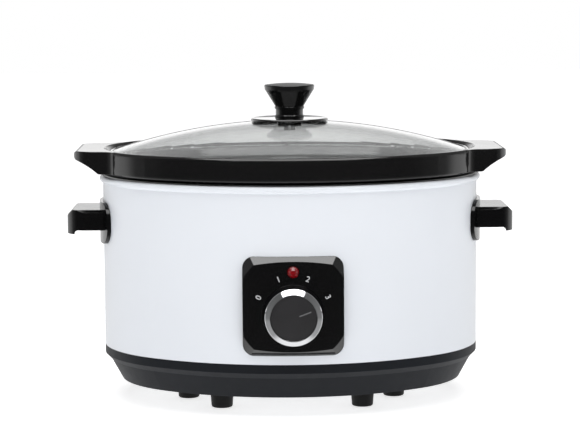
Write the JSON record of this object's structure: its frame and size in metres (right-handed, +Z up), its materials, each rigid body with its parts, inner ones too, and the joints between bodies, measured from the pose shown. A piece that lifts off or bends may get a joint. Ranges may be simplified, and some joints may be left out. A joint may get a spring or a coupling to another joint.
{
  "type": "oval slow cooker",
  "caption": "Oval countertop slow cooker: lift-out glazed crock and domed glass lid in a white housing on a black base with feet, side grips and a rotary control.",
  "frame": {"origin": "centre of the footprint's box, on the surface that the feet stand on", "axes": "+Z up, -Y towards the front with the control panel, +X to the user's right along the long side"},
  "size_m": [0.392, 0.2777, 0.2776],
  "materials": {
    "white_enamel": "semi-gloss",
    "liner_steel": "satin",
    "zinc_steel": "satin",
    "bright_steel": "satin",
    "base_black": "matte",
    "trim_black": "gloss",
    "knob_black": "satin",
    "chrome_ring": "polished",
    "face_satin": "satin",
    "pointer_grey": "satin",
    "lens_red": "gloss",
    "lamp_glass": "clear",
    "mica_board": "matte",
    "switch_nylon": "matte",
    "brass": "satin",
    "fuse_ceramic": "matte",
    "wire_red": "matte",
    "foot_rubber": "matte",
    "seal_rubber": "matte",
    "black_glaze": "gloss",
    "clear_glass": "gloss",
    "gland_rubber": "matte"
  },
  "bodies": {
    "housing": {"housing_shell": "white_enamel", "heating_liner": "liner_steel", "heater_band": "mica_board", "band_straps": "zinc_steel", "band_springs": "bright_steel", "base_ring": "base_black", "bottom_plate": "zinc_steel", "plate_screws": "bright_steel", "foot_screws": "bright_steel", "foot_nuts": "bright_steel", "tie_rod": "bright_steel", "tie_washer": "bright_steel", "tie_nut": "bright_steel", "handle_left": "trim_black", "handle_right": "trim_black", "handle_screws": "bright_steel", "control_panel": "trim_black", "panel_screws": "bright_steel", "indicator_lens": "lens_red", "neon_lamp": "lamp_glass", "mounting_plate": "zinc_steel", "switch_case": "switch_nylon", "switch_nut": "bright_steel", "switch_terminals": "brass", "thermal_fuse": "fuse_ceramic", "fuse_clip": "zinc_steel", "terminal_block": "switch_nylon", "terminal_screws": "brass", "wiring": "wire_red", "cord_gland": "gland_rubber", "foot_front_left": "foot_rubber", "foot_front_right": "foot_rubber", "foot_left": "foot_rubber", "foot_right": "foot_rubber", "foot_rear_left": "foot_rubber", "foot_rear_right": "foot_rubber"},
    "crock": {"crock": "black_glaze"},
    "lid": {"lid_glass": "clear_glass", "lid_knob": "trim_black", "knob_collar": "trim_black", "knob_insert": "brass", "lid_screw": "bright_steel", "lid_washer": "bright_steel", "lid_seals": "seal_rubber"},
    "knob": {"control_knob": "knob_black", "knob_trim_ring": "chrome_ring", "knob_face": "face_satin", "knob_pointer": "pointer_grey", "knob_spring_clip": "bright_steel", "switch_shaft": "bright_steel", "switch_cam": "switch_nylon"}
  },
  "joints": [
    {"name": "crock_lift", "type": "slide", "parent": "housing", "child": "crock", "axis": [0, 0, 1], "range_m": [0, 0.17]},
    {"name": "lid_lift", "type": "slide", "parent": "crock", "child": "lid", "axis": [0, 0, 1], "range_m": [0, 0.12]},
    {"name": "knob_turn", "type": "hinge", "parent": "housing", "child": "knob", "pos_m": [0, -0.13135, 0.0915], "axis": [0, -1, 0], "range_deg": [0, 132]}
  ]
}
